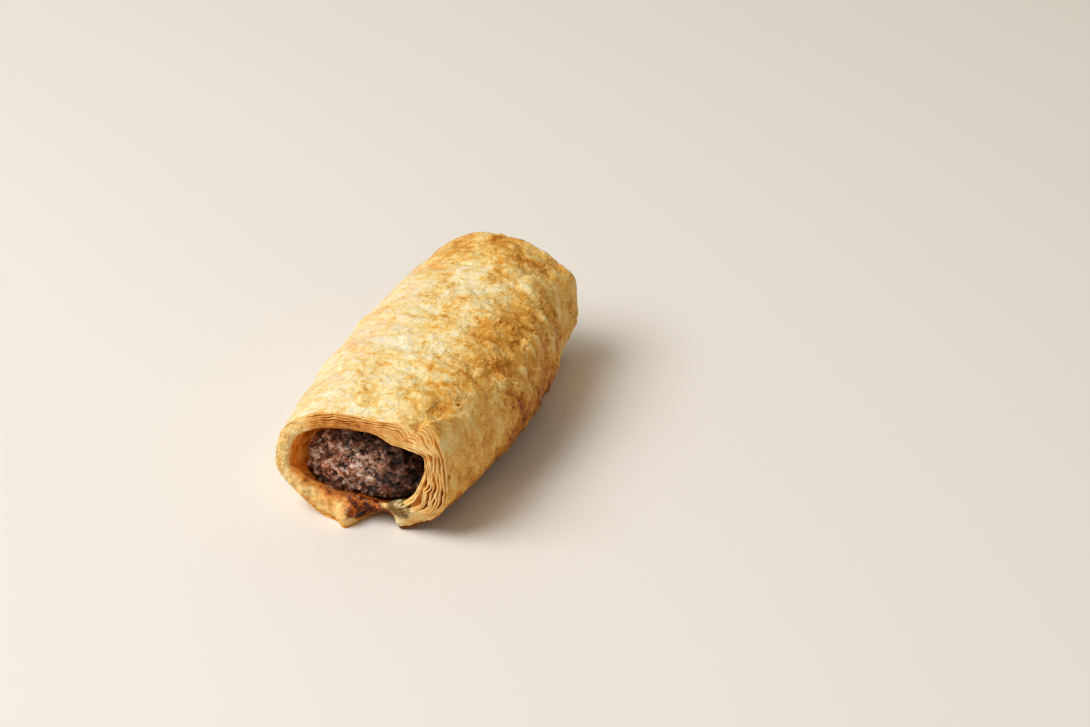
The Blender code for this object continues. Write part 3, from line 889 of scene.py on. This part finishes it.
def spills(spot, depth):
    """Where baked meat juice and set fat lie on the floor of the near mouth, and a burst bubble in the
    tab, painted near-black.
    """
    x, y, z = spot[..., 0], spot[..., 1] + LENGTH / 2, spot[..., 2]
    low_down = smooth(12.0, 8.5, z) * smooth(24.0, 16.0, y)
    run_over = smooth(0.85, 0.35, depth) + plateau(x - 1.5, 4.5) * smooth(0.2, 0.6, depth)
    juice = low_down * bell(x - 0.6, 6.0) * smooth(0.4, 2.4, z) * np.minimum(run_over, 1)
    grease = low_down * bell(x - 11.0, 4.6) * smooth(12.0, 8.0, y)
    grease = grease * smooth(0.85, 0.35, depth) * smooth(4.2, 5.4, z)
    # A burst bubble in the tab, painted near-black through the juice mask.
    away = np.hypot((x - BUBBLE_X) * 1.2, z - BUBBLE_Z) + 0.5 * ripple(spot, 1.2, 330)
    bubble = smooth(1.7, 0.9, away) * smooth(9.0, 5.0, y)
    return np.clip(np.maximum(1.2 * juice - grease, 1.4 * bubble), 0, 1.4), np.clip(1.1 * grease, 0, 1)


# ---------------------------------------------------------------- the sausage

CAP_CELLS, BODY_ROWS = 140, 14
LOWEST, HIGHEST, MEAT_SINK = -2.2, 1.1, 0.85     # of the crumbs, and how far they are set back


def sausage_form():
    """Points and faces of a rod: a fine square grid on each rounded end, and plain rings between."""
    line = np.linspace(-1, 1, CAP_CELLS + 1)
    u, v = np.meshgrid(line, line, indexing="ij")
    a, b = u * np.sqrt(1 - v**2 / 2), v * np.sqrt(1 - u**2 / 2)
    radius, angle = np.minimum(np.hypot(a, b), 1.0), np.arctan2(b, a)
    swing = radius * np.pi / 2
    reach = np.sin(swing) ** (2 / DOME_POWER) * superellipse(angle, *SAUSAGE_HALF, SAUSAGE_POWER)
    back = SAUSAGE_DOME * (1 - np.maximum(np.cos(swing), 0) ** (2 / DOME_POWER))
    half = SAUSAGE_LENGTH / 2
    cap = np.stack([SAUSAGE_X + reach * np.cos(angle), back - half, SAUSAGE_Z + reach * np.sin(angle)], -1)
    n = CAP_CELLS
    swollen = fuller(angle, back)[..., None]
    middle = np.array([SAUSAGE_X, 0, SAUSAGE_Z])
    cap = np.where([True, False, True], middle + (cap - middle) * swollen, cap)
    edge = [(i, 0) for i in range(n)] + [(n, j) for j in range(n)]
    edge += [(n - i, n) for i in range(n)] + [(0, n - j) for j in range(n)]
    edge = np.array([i * (n + 1) + j for i, j in edge])
    near = cap.reshape(-1, 3)
    plain = np.where([True, False, True], middle + (cap - middle) / swollen, cap).reshape(-1, 3)
    far = plain * (1, -1, 1)
    rings = []
    for k in range(1, BODY_ROWS):
        ring = mix(near[edge], plain[edge], smooth(0.0, 0.2, k / BODY_ROWS))
        ring[:, 1] = mix(SAUSAGE_DOME - half, half - SAUSAGE_DOME, k / BODY_ROWS)
        rings.append(ring)
    points = np.concatenate([near, *rings, far])
    cell = np.arange(n)
    i, j = np.meshgrid(cell, cell, indexing="ij")
    here, after = i * (n + 1) + j, (i + 1) * (n + 1) + j
    quad = np.stack([here, after, after + 1, here + 1], -1)
    quads = [quad.reshape(-1, 4)]
    base = len(near)
    loops = [edge] + [base + k * len(edge) + np.arange(len(edge)) for k in range(BODY_ROWS - 1)]
    far_base = base + (BODY_ROWS - 1) * len(edge)
    loops.append(far_base + edge)
    for here, after in zip(loops, loops[1:]):
        quads.append(np.stack([np.roll(here, -1), here, after, np.roll(after, -1)], -1))
    quads.append(quad.reshape(-1, 4)[:, ::-1] + far_base)
    return points, np.concatenate(quads)


def make_sausage():
    """The rod with its surface broken into crumbs and pits."""
    points, faces = sausage_form()
    normal = normals_of(points, faces)
    if (normal[0] * (points[0] - (SAUSAGE_X, 0, SAUSAGE_Z))).sum() < 0:
        normal = -normal
    shaken = points + 0.9 * np.stack([rough(points, 2.4, 2, seed) for seed in (54, 55, 56)], -1)
    big, seam, owner = lumps(shaken, 3.0, 3)
    small, _, _ = lumps(shaken, 1.3, 4)
    height = 1.25 * (0.5 - big) + 0.60 * (0.5 - small) + 0.50 * rough(points, 2.6, 5, 51)
    height = height + 0.40 * rough(points, 6.5, 2, 52) + 0.35 * (owner - 0.5)
    pits = smooth(0.22, 0.5, rough(shaken, 2.8, 2, 53))
    height = height - 1.0 * pits
    points = points + normal * (np.clip(height, LOWEST, HIGHEST) - MEAT_SINK)[:, None]
    # Painted shade and light: darker in low spots and along the seams between crumbs, lighter on high
    # ones, and lighter at the centre-left and on the left, towards the light.
    tone_and_painted_light = 0.54 + 0.26 * height + 0.14 * (owner - 0.5) - 0.22 * smooth(0.16, 0.0, seam)
    # pale marks the centre-left, where the light falls: it lightens the tone and holds the painted glints.
    pale = bell(points[:, 0] + 8, 10.0) * bell(points[:, 2] - 18.5, 9.0)
    # Partly char, partly painted shade: darker on the right, away from the light, at the top under the
    # pastry roof, at the bottom and at the far left edge.
    char_and_shade = 0.8 * smooth(1.0, 11.0, points[:, 0]) + 0.7 * smooth(23.0, 28.0, points[:, 2])
    char_and_shade = char_and_shade + 0.3 * smooth(-13.0, -18.0, points[:, 0])
    char_and_shade = np.clip(char_and_shade + 0.3 * smooth(11.0, 7.0, points[:, 2]), 0, 0.85)
    tone_and_painted_light = tone_and_painted_light + 0.13 * pale + 0.07 * smooth(-4.0, -12.0, points[:, 0])
    # The height mask carries the tone with its painted shade and light.
    masks = {"height": tone_and_painted_light, "char_and_shade": char_and_shade, "pale": pale}
    return skin("sausage_meat", points, faces, meat_material(), masks, "sausage")


# ---------------------------------------------------------------- floor, light and camera

FLOOR_SIZE = 4.0
CAMERA_AZIMUTH, CAMERA_ELEVATION = math.radians(20.81), math.radians(30)
CAMERA_SPOT = Vector((243.1, -549.2, 369.8))     # in the roll's own frame
LENS, SENSOR = 75.0, 36.0
KEY_BEARING, KEY_ELEVATION = math.radians(19), math.radians(52)   # bearing is from the camera's left
KEY_DISTANCE, KEY_SIZE, KEY_POWER = 1.7, 1.1, 26.0
KEY_COLOUR = (1.0, 0.985, 0.955)
SKY_COLOUR, SKY_STRENGTH = (255, 234, 202), 0.35


def make_floor():
    mesh = bpy.data.meshes.new("floor")
    half = FLOOR_SIZE / 2
    corners = [(-half, -half, 0), (half, -half, 0), (half, half, 0), (-half, half, 0)]
    mesh.from_pydata([Vector(c) for c in corners], [], [(0, 1, 2, 3)])
    material = bpy.data.materials.new("pale_floor")
    material.use_nodes = True
    shader = material.node_tree.nodes["Principled BSDF"]
    shader.inputs["Base Color"].default_value = linear((240, 240, 239))
    shader.inputs["Roughness"].default_value = 0.7
    shader.inputs["Specular IOR Level"].default_value = 0.2
    mesh.materials.append(material)
    floor = bpy.data.objects.new("floor", mesh)
    bpy.context.scene.collection.objects.link(floor)


def make_key():
    """A large soft box on the camera's left."""
    light = bpy.data.lights.new("key", "AREA")
    light.shape, light.size = "SQUARE", KEY_SIZE
    light.energy, light.color = KEY_POWER, KEY_COLOUR
    lamp = bpy.data.objects.new("key", light)
    bearing = CAMERA_AZIMUTH + KEY_BEARING
    level = math.cos(KEY_ELEVATION)
    spot = Vector((-math.cos(bearing) * level, -math.sin(bearing) * level, math.sin(KEY_ELEVATION)))
    lamp.location = spot * KEY_DISTANCE
    lamp.rotation_euler = spot.to_track_quat("Z", "Y").to_euler()
    bpy.context.scene.collection.objects.link(lamp)


def make_sky():
    world = bpy.data.worlds.new("studio")
    bpy.context.scene.world = world
    world.use_nodes = True
    sky = world.node_tree.nodes["Background"]
    sky.inputs["Color"].default_value = linear(SKY_COLOUR)
    sky.inputs["Strength"].default_value = SKY_STRENGTH


def make_camera():
    sin_a, cos_a = math.sin(CAMERA_AZIMUTH), math.cos(CAMERA_AZIMUTH)
    sin_e, cos_e = math.sin(CAMERA_ELEVATION), math.cos(CAMERA_ELEVATION)
    back = Vector((sin_a * cos_e, -cos_a * cos_e, sin_e))
    right = Vector((cos_a, sin_a, 0))
    up = back.cross(right)
    data = bpy.data.cameras.new("camera")
    data.lens, data.sensor_width, data.sensor_fit = LENS, SENSOR, "HORIZONTAL"
    camera = bpy.data.objects.new("camera", data)
    bpy.context.scene.collection.objects.link(camera)
    spot = CAMERA_SPOT * MM + ROLL
    camera.matrix_world = Matrix.Translation(spot) @ Matrix((right, up, back)).transposed().to_4x4()
    bpy.context.scene.camera = camera


make_camera()
make_floor()
make_key()
make_sky()
make_crust()
make_layers()
make_sausage()
bpy.context.scene.view_settings.view_transform = "Standard"
